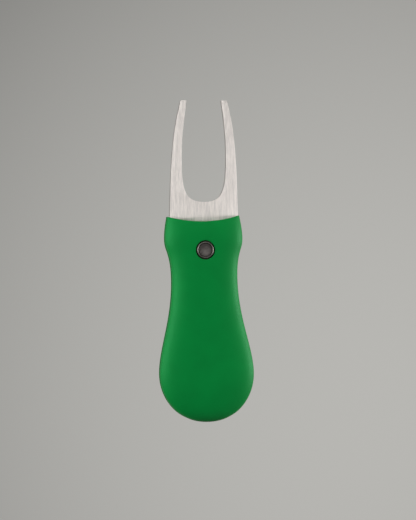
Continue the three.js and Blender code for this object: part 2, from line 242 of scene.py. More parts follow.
def block(name, low, high):
    """A rectangular cutting tool: a small plate stretched to its size and drawn up to its height."""
    obj = begin(name, bpy.ops.mesh.primitive_plane_add, size=2 * MM, location=(0, 0, low[2] * MM))
    resize((high[0] - low[0]) / 2, (high[1] - low[1]) / 2, centre=(0, 0, low[2]))
    translate((low[0] + high[0]) / 2, (low[1] + high[1]) / 2)
    extrude(z=high[2] - low[2])
    close_edit()
    return obj


# ------------------------------------------------------------------ sections of the handle

# Across the handle: shares of the half width for the vertices on the split face, halfway up and on the crown.
FRONT_COLUMNS = ((1.0, 0.9, 0.79, 0.66, 0.5, 0.27, 0.0), (0.993, 0.895, 0.79, 0.66, 0.5, 0.27, 0.0),
                 (0.97, 0.89, 0.79, 0.66, 0.5, 0.27, 0.0))
BACK_COLUMNS = ((1.0, 0.93, 0.88, 0.82, 0.74, 0.4, 0.0), (0.995, 0.93, 0.88, 0.82, 0.74, 0.4, 0.0),
                (0.965, 0.925, 0.875, 0.815, 0.74, 0.4, 0.0))
CROWN_POWER = 2.5  # of the front's oval section: 2 is an ellipse, and more is squarer
BACK_LAND = 0.76  # share of the half width over which the back is flat
BACK_POWER = 2.2  # of the rounding beyond it

# Down the handle: height on the axis, and how much of the head's hollow the row follows.
ROWS = ((9.5, 1.0), (7.2, 0.55), (5.1, 0.2), (3.1, 0), (1.3, 0), (-0.5, 0), (-2.3, 0), (-4.3, 0), (-6.7, 0),
        (-9.6, 0), (-13, 0), (-17, 0), (-21, 0), (-25, 0), (-29, 0), (-33, 0), (-37, 0), (-41.35, 0),
        (-45.5, 0), (-49.2, 0), (-52.2, 0), (-54.4, 0), (-55.9, 0))
NOSE = 5.6  # half width of the last row, which closes the tail
NOSE_RISE = 0.62  # share of its height that the last row keeps


def front_rise(rho):
    """How high the crown stands, as a share of its height, at that share of the way out to the side."""
    return max(0.0, 1 - rho ** CROWN_POWER) ** (1 / CROWN_POWER)


def front_reach(rise):
    """How far out the crown reaches at that share of its height."""
    return max(0.0, 1 - rise ** CROWN_POWER) ** (1 / CROWN_POWER)


def back_rise(rho):
    """The same for the back, which is flat and then rounds up to the split."""
    out = max(0.0, (rho - BACK_LAND) / (1 - BACK_LAND))
    return math.sqrt(max(0.0, 1 - out ** BACK_POWER))


def back_reach(rise):
    """How far out the back reaches at that share of its height."""
    return BACK_LAND + (1 - BACK_LAND) * max(0.0, 1 - rise * rise) ** (1 / BACK_POWER)


def row_widths():
    """Half widths of the rows, a little proud, so that the smoothed surface passes through the outline."""
    edge = [y + blend * arc_rise(half_width(min(y, HORN_Y))) for y, blend in ROWS]
    widths = [half_width(min(y, HORN_Y)) for y in edge]
    for _ in range(30):  # enough rounds for the widths to settle
        for i in range(1, len(edge) - 1):
            smoothed_y = (edge[i - 1] + 4 * edge[i] + edge[i + 1]) / 6
            widths[i] = (6 * half_width(smoothed_y) - widths[i - 1] - widths[i + 1]) / 4
    return widths


def section(row, width, seam, height, columns, rise, fall):
    """Where the vertices of a row stand: three levels, each from the side to the middle."""
    y_axis, blend = row
    tail = max(0.0, 1 - (width / BULB_X) ** 2) if y_axis < BULB_Y else 0.0
    levels = []
    for level, shares in enumerate(columns):
        places = []
        for share in shares:
            x = share * width
            y = y_axis + blend * arc_rise(x)
            rho = min(1.0, math.sqrt(share * share * (1 - tail) + tail))
            head = max(0.0, (y - HEAD_BASE) / (HEAD_Y - HEAD_BASE))
            up = rise(rho) * (1 - fall * head * head)
            outermost = share == shares[0]
            part = (0, 1 if outermost else 0.5, 1)[level]
            places.append(Vector((x, y, seam + height * up * part)))
        levels.append(places)
    return levels


def nose(seam, height, columns, rise, reach):
    """The last row, wrapped round the tail."""
    tail = 1 - (half_width(ROWS[-1][0]) / BULB_X) ** 2
    top = rise(math.sqrt(tail)) * NOSE_RISE
    levels = []
    for level, shares in enumerate(columns):
        places = []
        for share in shares:
            x = share * NOSE
            up = top * level / 2
            span = math.sqrt(x * x + BULB_X ** 2 * (1 - reach(up) ** 2))
            places.append(Vector((x, tail_y(span), seam + height * up)))
        levels.append(places)
    return levels


def settle(obj, stand, wanted):
    """Takes a row's vertices, in pairs either side of the axis, from where they stand to where they go."""
    for here, there in zip(sum(stand, []), sum(wanted, [])):
        if (here - there).length < 0.0005:
            continue
        select_at(obj, (here, Vector((-here.x, here.y, here.z))))
        if here.x > 0 and abs(there.x - here.x) > 0.0002:
            resize(x=there.x / here.x, centre=(0, here.y, here.z))
        translate(y=there.y - here.y, z=there.z - here.z)


def both_sides(levels):
    """The places of a row, and the same on the other side of the axis."""
    places = sum(levels, [])
    return places + [Vector((-p.x, p.y, p.z)) for p in places]


def drawn_shell(name, seam, height, columns, rise, reach, fall):
    """Half of the handle, drawn out row by row from a plate that stands across the head."""
    widths = row_widths()
    wide = widths[0]
    half = len(columns[0]) - 1
    start = ROWS[0][0] + ASIDE
    obj = begin(name, bpy.ops.mesh.primitive_grid_add, x_subdivisions=2 * half, y_subdivisions=2,
                size=2 * MM, location=(0, start * MM, seam * MM), rotation=(math.pi / 2, 0, 0))
    plain = [[Vector(((half - k) / half, start, seam + level - 1)) for k in range(half + 1)]
             for level in range(3)]
    stand = section(ROWS[0], wide, seam, height, columns, rise, fall)
    settle(obj, plain, stand)
    crisp = [p for level in stand for p in level if level is not stand[1]] + [stand[1][0]]
    for row, width in zip(ROWS[1:], widths[1:]):
        select_at(obj, both_sides(stand))
        down = row[0] - stand[0][-1].y
        extrude(y=down)
        resize(x=width / wide, centre=(0, row[0], seam))
        moved = [[Vector((p.x * width / wide, p.y + down, p.z)) for p in level] for level in stand]
        stand = section(row, width, seam, height, columns, rise, fall)
        settle(obj, moved, stand)
        crisp.append(stand[0][0])
        wide = width
    select_at(obj, both_sides(stand))
    extrude(y=-1)
    last = nose(seam, height, columns, rise, reach)
    settle(obj, [[Vector((p.x, p.y - 1, p.z)) for p in level] for level in stand], last)
    select_at(obj, both_sides([crisp + last[0]]))
    bpy.ops.transform.edge_crease(value=1)
    close_edit()
    modify(obj, "SUBSURF", levels=2, render_levels=2)
    return obj


def broken_edges(obj, width):
    """Breaks the sharp edges of the split line and the head's rim."""
    only(obj)
    bpy.ops.object.mode_set(mode="EDIT")
    bpy.ops.mesh.select_mode(type="EDGE")
    bpy.ops.mesh.select_all(action="DESELECT")
    bpy.ops.mesh.edges_select_sharp(sharpness=math.radians(48))
    bpy.ops.mesh.bevel(offset=width * MM, segments=2, affect="EDGES", clamp_overlap=True)
    close_edit()


def liner_seat(obj, seam, depth, rim=0.7):
    """Sinks the split face inside a narrow rim, where the steel liner sits flush."""
    flat = 0.003  # how far from the split a vertex of its face may stand
    only(obj)
    bpy.ops.object.mode_set(mode="EDIT")
    bpy.ops.mesh.select_mode(type="FACE")
    mesh = bmesh.from_edit_mesh(obj.data)
    bpy.ops.mesh.select_all(action="DESELECT")
    for face in mesh.faces:
        face.select_set(all(abs(v.co.z / MM - seam) < flat for v in face.verts))
    bmesh.update_edit_mesh(obj.data)
    bpy.ops.mesh.dissolve_faces()
    bpy.ops.mesh.inset(thickness=rim * MM, depth=0, use_even_offset=False)
    for side in (1, -1):  # the inset's corner at each horn is gathered into one point
        select(obj, lambda p: 11.2 < side * p.x < 12.0 and 10.3 < p.y < 10.8 and abs(p.z - seam) < flat)
        bpy.ops.mesh.merge(type="CENTER")
    bpy.ops.mesh.select_mode(type="FACE")
    bpy.ops.mesh.select_all(action="DESELECT")
    mesh = bmesh.from_edit_mesh(obj.data)
    max(mesh.faces, key=lambda face: len(face.verts)).select_set(True)
    bmesh.update_edit_mesh(obj.data)
    extrude(z=depth)
    close_edit()


# ------------------------------------------------------------------ the fork


def prong_rows():
    """Rows across the right-hand prong, from its tip to the shoulder: each row's outer and inner end."""
    rows = [((7.2, 49.82), (6.0, 49.87)), ((7.62, 49.72), (5.84, 49.8)), ((7.83, 49.45), (5.8, 49.62))]
    for y in (49.0, 48.2, 47, 45.5, 44, 42.3, 40.5, 38.5, 36.5, 34.3):
        rows.append((solve(PRONG_OUTSIDE, 1, y), solve(PRONG_INSIDE, 1, y)))
    steps = 20
    gap_top, gap_fall = 32.2, 19.7  # outer end of the first row round the gap's floor, and how far they fall
    for k in range(steps + 1):
        outer = solve(PRONG_OUTSIDE, 1, gap_top - gap_fall * k / steps)
        rows.append((outer, bezier(GAP_FLOOR, 1 - k / steps)))
    rows.append((solve(PRONG_OUTSIDE, 1, 10), (0, 12)))
    rows.append((PRONG_OUTSIDE[0], (0, PRONG_OUTSIDE[0][1])))
    return rows


def drawn_fork(name, edge, lean):
    """One prong drawn out from its tip, mirrored, drawn up to the plate's thickness, joined to the tang."""
    rows = prong_rows()
    obj = begin(name, bpy.ops.mesh.primitive_plane_add, size=2 * MM, location=(0, 0, FORK_LOW * MM))
    corners = [(1, 1), (-1, 1), (1, -1), (-1, -1)]
    for (x, y), (to_x, to_y) in zip(corners, [*rows[0], *rows[1]]):
        select_at(obj, [Vector((x, y, FORK_LOW))])
        translate(to_x - x + ASIDE, to_y - y)
    bpy.ops.mesh.select_all(action="SELECT")
    translate(x=-ASIDE)
    for above, row in zip(rows[1:], rows[2:]):
        select_at(obj, [Vector((*p, FORK_LOW)) for p in above])
        extrude(y=-2 * ASIDE)
        for here, there in zip(above, row):
            select_at(obj, [Vector((here[0], here[1] - 2 * ASIDE, FORK_LOW))])
            translate(there[0] - here[0], there[1] - here[1] + 2 * ASIDE)
    bpy.ops.mesh.select_all(action="SELECT")
    bpy.ops.mesh.duplicate()
    resize(x=-1)
    bpy.ops.mesh.select_all(action="SELECT")
    bpy.ops.mesh.remove_doubles(threshold=0.005 * MM)
    bpy.ops.mesh.select_all(action="SELECT")
    extrude(z=FORK_HIGH - FORK_LOW)
    close_edit()
    under, over = FORK_LOW - 1, FORK_HIGH + 1
    carve(obj, turned("tang_disc", [(TANG_RADIUS, FORK_LOW), (TANG_RADIUS, FORK_HIGH)], segments=96), "UNION")
    carve(obj, turned("bore", [(BORE_RADIUS, under), (BORE_RADIUS, over)], segments=72))
    carve(obj, block("lock_notches", (-LUG_X, -LUG_Y, under), (LUG_X, LUG_Y, over)))
    carve(obj, turned("spring_hole", [(0.6, under), (0.6, over)], y=7.4, segments=24))
    obj.rotation_euler.z = -lean
    only(obj)
    bpy.ops.object.transform_apply(rotation=True)
    modify(obj, "BEVEL", width=edge * MM, segments=2, limit_method="ANGLE",
           angle_limit=math.radians(40))
    return obj


# ------------------------------------------------------------------ materials

RING_PERIOD = math.pi / 10  # one ring of a Wave Texture at scale 1
FLATTENED = 1000  # a Mapping scale that takes a direction out of a pattern
# The paper's colour carries a painted pool of light: palest at this centre, fading into painted shade over
# this distance.
PAINTED_POOL_CENTRE = (0.09, -0.06, 0)  # where the studio paper is palest, in metres
PAPER_FADE = 0.24  # how far from there it reaches its deepest, in metres


def add_node(tree, kind, links=None, **settings):
    """Adds a node. Links gives each input socket another node's output, or a value of its own."""
    node = tree.nodes.new(kind)
    for key, value in settings.items():
        setattr(node, key, value)
    for socket, value in (links or {}).items():
        if isinstance(value, bpy.types.NodeSocket):
            tree.links.new(value, node.inputs[socket])
        else:
            node.inputs[socket].default_value = value
    return node


def new_material(name, base, metallic, roughness, **constants):
    """A material with one shader, and the place of the surface in metres."""
    material = bpy.data.materials.new(name)
    material.use_nodes = True
    tree = material.node_tree
    shader = tree.nodes["Principled BSDF"]
    shader.inputs["Base Color"].default_value = (*base, 1)
    shader.inputs["Metallic"].default_value = metallic
    shader.inputs["Roughness"].default_value = roughness
    for socket, value in constants.items():
        shader.inputs[socket.replace("_", " ")].default_value = value
    place = add_node(tree, "ShaderNodeTexCoord").outputs["Object"]
    return material, tree, shader, place


def grain(tree, place, size, detail=2.0, stretch=(1, 1, 1), turn=0.0):
    """Noise with features of about that many millimetres, longer along the axes where stretch is over 1."""
    mapped = add_node(tree, "ShaderNodeMapping", {
        "Vector": place, "Rotation": (0, 0, turn), "Scale": [size * MM * s for s in stretch]},
        vector_type="TEXTURE")
    return add_node(tree, "ShaderNodeTexNoise", {
        "Vector": mapped.outputs[0], "Scale": 1.0, "Detail": detail, "Roughness": 0.55}).outputs[0]


def rings(tree, place, centre, pitch):
    """Turning marks of that pitch in millimetres, round an upright axis."""
    mapped = add_node(tree, "ShaderNodeMapping", {
        "Vector": place, "Location": [c * MM for c in (*centre, 0)], "Scale": [pitch * MM / RING_PERIOD] * 3},
        vector_type="TEXTURE")
    return add_node(tree, "ShaderNodeTexWave", {"Vector": mapped.outputs[0], "Scale": 1.0, "Distortion": 0.4},
                    wave_type="RINGS", rings_direction="Z").outputs[1]


def reach_from(tree, place, centre):
    """How far the surface is from an upright axis, in millimetres."""
    mapped = add_node(tree, "ShaderNodeMapping", {
        "Vector": place, "Location": [c * MM for c in (*centre, 0)], "Scale": (MM, MM, FLATTENED)},
        vector_type="TEXTURE")
    return add_node(tree, "ShaderNodeVectorMath", {0: mapped.outputs[0]}, operation="LENGTH").outputs[1]


def vary(tree, shader, pattern, source=(0.3, 0.7), colours=None, roughness=None, relief=None):
    """Lets a pattern, over its source range, carry the surface's colours and its roughness, each from the
    first value to the second, and a relief of that many millimetres."""
    low, high = source
    if colours:
        first, second = [(*colour, 1) for colour in colours]
        share = add_node(tree, "ShaderNodeMapRange", {0: pattern, 1: low, 2: high}).outputs[0]
        mixed = add_node(tree, "ShaderNodeMix", {0: share, 6: first, 7: second}, data_type="RGBA")
        tree.links.new(mixed.outputs[2], shader.inputs["Base Color"])
    if roughness:
        first, second = roughness
        spread = add_node(tree, "ShaderNodeMapRange", {0: pattern, 1: low, 2: high, 3: first, 4: second})
        tree.links.new(spread.outputs[0], shader.inputs["Roughness"])
    if relief:
        bump = add_node(tree, "ShaderNodeBump", {"Height": pattern, "Distance": relief * MM, "Strength": 1.0})
        tree.links.new(bump.outputs[0], shader.inputs["Normal"])


def scaled(colour, by):
    """A paler or darker shade of a linear colour."""
    return tuple(min(1.0, c * by) for c in colour)


def soft_touch_abs(green):
    """Moulded ABS under a soft-touch lacquer: a deep even green with a wide, dull sheen and no sharp glint.
    The spark-eroded grain of the mould is 0.1 mm wide, and is drawn at 0.3 mm so that it shows."""
    material, tree, shader, place = new_material(
        "moulded_abs_soft_touch_lacquer", green, 0, 0.5, Specular_IOR_Level=0.4,
        Specular_Tint=(0.24, 1, 0.48, 1), Sheen_Weight=0.05, Sheen_Roughness=0.4, Sheen_Tint=(0.9, 1, 0.8, 1))
    vary(tree, shader, grain(tree, place, 7, 3), colours=(scaled(green, 0.95), scaled(green, 1.05)))
    vary(tree, shader, grain(tree, place, 0.3, 3), roughness=(0.47, 0.56), relief=0.006)
    return material


def brushed_stainless(steel, lean):
    """Stainless sheet, belt-brushed along the prongs: pale warm grey that spreads light across the brushing.
    The belt's scratches are 0.05 mm wide, and are drawn at 0.3 and 0.6 mm so that they show."""
    material, tree, shader, place = new_material("belt_brushed_stainless", steel, 1, 0.56, Anisotropic=0.85)
    across = add_node(tree, "ShaderNodeTangent", direction_type="RADIAL", axis="Y")
    tree.links.new(across.outputs[0], shader.inputs["Tangent"])
    wide = grain(tree, place, 0.6, 4, (1, 8, 1), -lean)
    fine = grain(tree, place, 0.3, 4, (1, 9, 1), -lean)
    both = add_node(tree, "ShaderNodeMath", {0: wide, 1: fine}, operation="ADD").outputs[0]
    vary(tree, shader, both, (0.75, 1.25), colours=(scaled(steel, 0.84), scaled(steel, 1.09)), relief=0.002)
    vary(tree, shader, fine, roughness=(0.51, 0.61))
    return material


def edge_tumbled_and_shaded(steel):
    """The blanked sides and broken edges of the same sheet, tumbled: duller than the flats, and painted
    greyer as painted shade that tones down their highlights.
    """
    # Painted shade: the edges take the steel's colour at 0.6 of its brightness.
    material, tree, shader, place = new_material("stainless_edge_tumbled_painted_shade", scaled(steel, 0.6), 1, 0.55)
    vary(tree, shader, grain(tree, place, 0.5), roughness=(0.5, 0.6), relief=0.003)
    return material


def black_nickel(metal, painted_highlight_centre):
    """Turned brass under black nickel plate: dark warm grey, with faint turning rings round the middle. The
    second argument is the centre, in millimetres, of a painted highlight: the plate is painted paler there
    and fades outwards into painted shade darker than the plate."""
    material, tree, shader, place = new_material("black_nickel_plated_turned_brass", metal, 1, 0.56)
    cloud = grain(tree, place, 0.7, 3)
    # Painted highlight round the given centre, and painted shade further out, carried by the colour below.
    painted_highlight = add_node(tree, "ShaderNodeMath", {0: cloud, 1: 2.5, 2: reach_from(tree, place, painted_highlight_centre)},
                      operation="MULTIPLY_ADD").outputs[0]
    vary(tree, shader, painted_highlight, (1.55, 3.35), colours=(scaled(metal, 1.75), scaled(metal, 0.8)))
    vary(tree, shader, rings(tree, place, (0, 0), 0.16), (0, 1), roughness=(0.52, 0.62), relief=0.003)
    return material


def rim_painted_highlight(metal):
    """The chamfer: a narrow ring painted paler than the plate, a painted highlight."""
    material, tree, shader, place = new_material("nickel_rim_painted_highlight", metal, 1, 0.5)
    vary(tree, shader, grain(tree, place, 0.4), roughness=(0.44, 0.56))
    return material


def blanked_steel():
    """Sheet steel, blanked and tumbled: dull grey with small darker patches."""
    material, tree, shader, place = new_material("blanked_tumbled_steel", linear("#9c9b98"), 1, 0.45)
    vary(tree, shader, grain(tree, place, 1.2, 4), colours=(linear("#83827f"), linear("#adaca9")),
         roughness=(0.38, 0.55), relief=0.004)
    return material


def moulded_nylon():
    """Glass-filled nylon, moulded: near black, with a fine matt grain."""
    material, tree, shader, place = new_material("moulded_glass_filled_nylon", linear("#1d1d1f"), 0, 0.55)
    vary(tree, shader, grain(tree, place, 0.35, 4), colours=(linear("#17171a"), linear("#29292b")),
         roughness=(0.48, 0.66), relief=0.01)
    return material


def turned_brass():
    """Bar brass, turned: warm yellow with small dull spots."""
    material, tree, shader, place = new_material("turned_brass", linear("#b8934e"), 1, 0.34)
    vary(tree, shader, grain(tree, place, 0.8, 3), colours=(linear("#a88040"), linear("#c9a560")),
         roughness=(0.28, 0.45))
    return material


def spring_wire():
    """Hard-drawn spring wire, nickel plated: clean mid grey with a soft glint."""
    material, tree, shader, place = new_material("nickel_plated_spring_wire", linear("#a3a29f"), 1, 0.3)
    vary(tree, shader, grain(tree, place, 0.5, 3), colours=(linear("#8d8c89"), linear("#b4b3b0")),
         roughness=(0.24, 0.4))
    return material


def marker_enamel_face(enamel, ring, centre):
    """Stoved enamel on the marker: glossy off-white, with a plain green ring round a green dot."""
    material, tree, shader, place = new_material(
        "stoved_enamel", enamel, 0, 0.16, Coat_Weight=0.6, Coat_Roughness=0.06)
    reach = reach_from(tree, place, (0, centre))
    band = add_node(tree, "ShaderNodeMath", {0: reach, 1: 5.6, 2: 0.6}, operation="COMPARE").outputs[0]
    dot = add_node(tree, "ShaderNodeMath", {0: reach, 1: 1.6}, operation="LESS_THAN").outputs[0]
    drawn = add_node(tree, "ShaderNodeMath", {0: band, 1: dot}, operation="MAXIMUM").outputs[0]
    vary(tree, shader, drawn, (0, 1), colours=(enamel, ring))
    vary(tree, shader, grain(tree, place, 1.5), roughness=(0.12, 0.22))
    return material


def paper_painted_light_pool(paper):
    """Uncoated studio paper: pale warm grey with a painted pool of light, palest at one place and darkening
    slowly all round it as painted shade, with a fine flat tooth."""
    material, tree, shader, place = new_material(
        "studio_paper_painted_light_pool", paper, 0, 0.9, Specular_IOR_Level=0.1)
    spread = add_node(tree, "ShaderNodeMapping", {
        "Vector": place, "Location": PAINTED_POOL_CENTRE, "Scale": (PAPER_FADE, PAPER_FADE, FLATTENED)},
        vector_type="TEXTURE")
    square = add_node(tree, "ShaderNodeVectorMath", {0: spread.outputs[0], 1: spread.outputs[0]},
                      operation="DOT_PRODUCT").outputs[1]
    # Painted light: the paper's colour falls from its own at the pool's centre to 0.42 of it further out, a
    # painted pool of light with painted shade round it.
    vary(tree, shader, square, (0, 1), colours=(paper, scaled(paper, 0.42)))
    vary(tree, shader, grain(tree, place, 1.2, 4), roughness=(0.85, 0.95), relief=0.02)
    return material


# ------------------------------------------------------------------ settings


def length(name, default, description):
    return bpy.props.FloatProperty(name=name, default=default * MM, description=description, min=0,
                                   unit="LENGTH", subtype="DISTANCE", precision=5)


def colour(name, default, description):
    return bpy.props.FloatVectorProperty(name=name, default=linear(default), description=description,
                                         size=3, min=0, max=1, subtype="COLOR")


def power(name, default, description):
    return bpy.props.FloatProperty(name=name, default=default, description=description, min=0)


class HandleSettings(bpy.types.PropertyGroup):
    head_fall: bpy.props.FloatProperty(
        name="Head fall", default=0.16, min=0, max=0.5, subtype="FACTOR",
        description="Share of its height that the crown loses at the head")
    edge: length("Broken edge", 0.15, "Width of the broken edges at the split line and the head")
    button_hole: length("Button hole", 3.16, "Radius of the hole round the button")
    green: colour("Green", "#008a3a", "Colour of the lacquer")


class ForkSettings(bpy.types.PropertyGroup):
    lean: bpy.props.FloatProperty(
        name="Lean", default=math.radians(1.4), subtype="ANGLE", unit="ROTATION",
        description="How far the open fork points away from the handle's axis")
    edge: length("Broken edge", 0.16, "Width of the fork's deburred edges")
    steel: colour("Steel", "#e9e3de", "Colour of the brushed steel")


class ButtonSettings(bpy.types.PropertyGroup):
    radius: length("Radius", 2.78, "Radius of the button's head")
    metal: colour("Plate", "#736e6b", "Colour of the black nickel")
    # The rim's paler colour is a painted highlight.
    rim: colour("Rim", "#88827d", "Colour of the worn rim")


class MarkerSettings(bpy.types.PropertyGroup):
    enamel: colour("Enamel", "#e9e7e0", "Colour of the marker's face")
    ring: colour("Ring", "#00703a", "Colour of the ring on the face")


class StudioSettings(bpy.types.PropertyGroup):
    distance: bpy.props.FloatProperty(
        name="Camera distance", default=1.2, min=0.3, unit="LENGTH", description="From the lens to the tool")
    turn: bpy.props.FloatProperty(
        name="Camera turn", default=math.radians(6.6), subtype="ANGLE", unit="ROTATION",
        description="How far round to the tool's left side the camera stands")
    drop: bpy.props.FloatProperty(
        name="Floor drop", default=0.16, min=0, unit="LENGTH",
        description="How far the paper lies below the tool")
    key: power("Right light", 1, "Power of the lights on the right, against the usual")
    fill: power("Other light", 1, "Power of the lights on the other sides, against the usual")
    wash: power("Paper light", 2.6, "Strength of the even light that falls on the paper alone")
    # Where the paper is palest is the centre of the pool of light painted on it.
    paper: colour("Paper", "#bfbeba", "Colour of the studio paper where it is palest")


GROUPS = {
    "repair_handle": HandleSettings, "repair_fork": ForkSettings, "repair_button": ButtonSettings,
    "repair_marker": MarkerSettings, "repair_studio": StudioSettings,
}


def place_piece(obj, body, slot, *nodes):
    """Says which body the piece moves with and the solids it stands for; slot, the finish it has, is not
    used.
    """
    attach(obj, body)
    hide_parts(*nodes)


# ------------------------------------------------------------------ the operators

VIEW_WIDTH = 0.1733  # how much the camera sees from side to side at the tool, in metres
SCREWS = ((-5.5, -53.2), (5.5, -53.2))
SCREW_SEAT = 2.65  # level under the heads, which leaves them below the rounded edge of the back
SCREW_HEAD = 0.9  # thickness of the heads
RIVETS = ((-10.6, 1.5), (-12.2, -38))
MARKER_Y = -38.5


class MakeFrontShell(bpy.types.Operator):
    """The crowned front half of the handle, with the hole for the button"""
    bl_idname = "repair_tool.front_shell"
    bl_label = "Front shell"

    def execute(self, context):
        settings = context.scene.repair_handle
        hole = settings.button_hole / MM
        obj = drawn_shell("handle_front", FRONT_SEAM, CROWN - FRONT_SEAM, FRONT_COLUMNS, front_rise,
                          front_reach, settings.head_fall)
        broken_edges(obj, settings.edge / MM)
        liner_seat(obj, FRONT_SEAM, LINER_FRONT - FRONT_SEAM)
        bore = [(7.9, 6.3), (7.9, 10.5), (4.9, 10.5), (4.9, 8.6), (4.1, 8.6), (4.1, 10.7), (hole, 10.7),
                (hole, 11.74), (hole + 0.03, 11.86), (hole + 0.1, 11.95), (hole + 0.2, 12.0),
                (hole + 0.4, 12.4)]
        carve(obj, turned("button_bore", bore, segments=96))
        carve(obj, block("spring_leg_notch", (-9.3, -0.6, 6.3), (-5.9, 0.6, 10.5)))
        for x, y in RIVETS:
            carve(obj, turned("rivet_room", [(1.4, 6.3), (1.4, 8.8)], x, y, 24))
        for x, y in SCREWS:
            carve(obj, turned("insert_bore", [(1.5, 6.3), (1.5, 9.5)], x, y, 32))
        obj.data.materials.append(soft_touch_abs(settings.green))
        smooth(obj)
        place_piece(obj, "handle", "shell_green", "front_shell")
        return {"FINISHED"}


class MakeBackShell(bpy.types.Operator):
    """The flat back half of the handle, with the marker's well and the screws' counterbores"""
    bl_idname = "repair_tool.back_shell"
    bl_label = "Back shell"

    def execute(self, context):
        settings = context.scene.repair_handle
        obj = drawn_shell("handle_back", BACK_SEAM, -BACK_SEAM, BACK_COLUMNS, back_rise, back_reach, 0)
        broken_edges(obj, settings.edge / MM)
        liner_seat(obj, BACK_SEAM, LINER_BACK - BACK_SEAM)
        carve(obj, turned("key_well", [(4.3, 0.9), (4.3, 5.7)], segments=64))
        carve(obj, block("lug_wells", (-LUG_X, -LUG_Y, 0.9), (LUG_X, LUG_Y, 5.7)))
        carve(obj, turned("nail_notch", [(3.4, -0.5), (3.2, 0.1), (2.9, 1.25)], 0, MARKER_Y + 10.3, 48))
        well = [(10.7, -0.5), (10.45, 0.02), (10.3, 0.1), (10.25, 0.25), (10.25, 1.55)]
        carve(obj, turned("marker_well", well, 0, MARKER_Y, 96))
        carve(obj, turned("magnet_well", [(4.1, 1.95), (4.1, 5.7)], 0, MARKER_Y, 48))
        for x, y in RIVETS:
            carve(obj, turned("rivet_room", [(1.4, 3.2), (1.4, 5.7)], x, y, 24))
        for x, y in SCREWS:
            bore = [(2, -0.5), (2, SCREW_SEAT), (1.1, SCREW_SEAT), (1.1, 5.7)]
            carve(obj, turned("counterbore", bore, x, y, 40))
        obj.data.materials.append(soft_touch_abs(settings.green))
        smooth(obj)
        place_piece(obj, "handle", "shell_green", "back_shell")
        return {"FINISHED"}


class MakeFork(bpy.types.Operator):
    """The two-prong fork with its tang, bore and lock notches"""
    bl_idname = "repair_tool.fork"
    bl_label = "Fork"

    def execute(self, context):
        settings = context.scene.repair_fork
        obj = drawn_fork("fork_plate", settings.edge / MM, settings.lean)
        obj.data.materials.clear()
        obj.data.materials.append(brushed_stainless(settings.steel, settings.lean))
        obj.data.materials.append(edge_tumbled_and_shaded(settings.steel))
        for face in obj.data.polygons:
            # The sides and broken edges take the darker copy of the steel, painted shade.
            face.material_index = int(abs(face.normal.z) < 0.99)
        smooth(obj, 25)
        place_piece(obj, "fork", "fork_steel", "fork")
        return {"FINISHED"}


class MakeButton(bpy.types.Operator):
    """The dished push button with its flange and stem"""
    bl_idname = "repair_tool.button"
    bl_label = "Push button"

    def execute(self, context):
        settings = context.scene.repair_button
        r = settings.radius / MM
        profile = [
            (1.3, 2.5), (1.5, 2.7), (1.5, 10), (3.7, 10), (3.8, 10.1), (3.8, 10.5), (3.7, 10.6), (r, 10.6),
            (r, 11.9), (r - 0.04, 12.05), (r - 0.2, 12.21), (r - 0.26, 12.24), (r - 0.33, 12.22),
            (r - 0.37, 12.14), (r - 0.39, 11.8), (r - 0.56, 11.76), (r - 0.64, 11.92), (r - 0.74, 11.96),
            (r - 1.2, 11.91), (r - 1.8, 11.87), (r - 2.4, 11.845), (0.15, 11.84)]
        obj = turned("push_button", profile, segments=96)
        # The dish's highlight is painted just below the button's centre.
        obj.data.materials.append(black_nickel(settings.metal, (0.1, -0.6)))
        obj.data.materials.append(rim_painted_highlight(settings.rim))
        for face in obj.data.polygons:
            reach = math.hypot(face.center.x, face.center.y) / MM
            # The chamfer's faces take the paler copy of the plate, a painted highlight.
            face.material_index = int(face.center.z / MM > 11.98 and reach > r - 0.38)
        smooth(obj, 50)
        place_piece(obj, "button", "gunmetal", "release_button")
        return {"FINISHED"}


class MakeMarker(bpy.types.Operator):
    """The ball marker on the back, a rimmed steel disc with an enamel face"""
    bl_idname = "repair_tool.marker"
    bl_label = "Ball marker"

    def execute(self, context):
        settings = context.scene.repair_marker
        coin = turned("marker_disc", [
            (9.75, 1.45), (10, 1.25), (10, 0.35), (9.85, 0.12), (9.6, 0.05), (8.62, 0.05), (8.45, 0.12),
            (8.4, 0.25), (8.4, 0.5), (0.3, 0.5)], 0, MARKER_Y, 96)
        steel = context.scene.repair_fork.steel
        coin.data.materials.append(brushed_stainless(steel, 0))
        smooth(coin, 40)
        place_piece(coin, "marker", "fork_steel", "ball_marker")
        face = turned("marker_face", [
            (8.2, 0.45), (8.3, 0.38), (8.3, 0.26), (8.2, 0.17), (7.9, 0.13), (0.3, 0.12)], 0, MARKER_Y, 96)
        face.data.materials.append(marker_enamel_face(settings.enamel, settings.ring, MARKER_Y))
        smooth(face, 40)
        place_piece(face, "marker", "enamel", "marker_enamel")
        return {"FINISHED"}


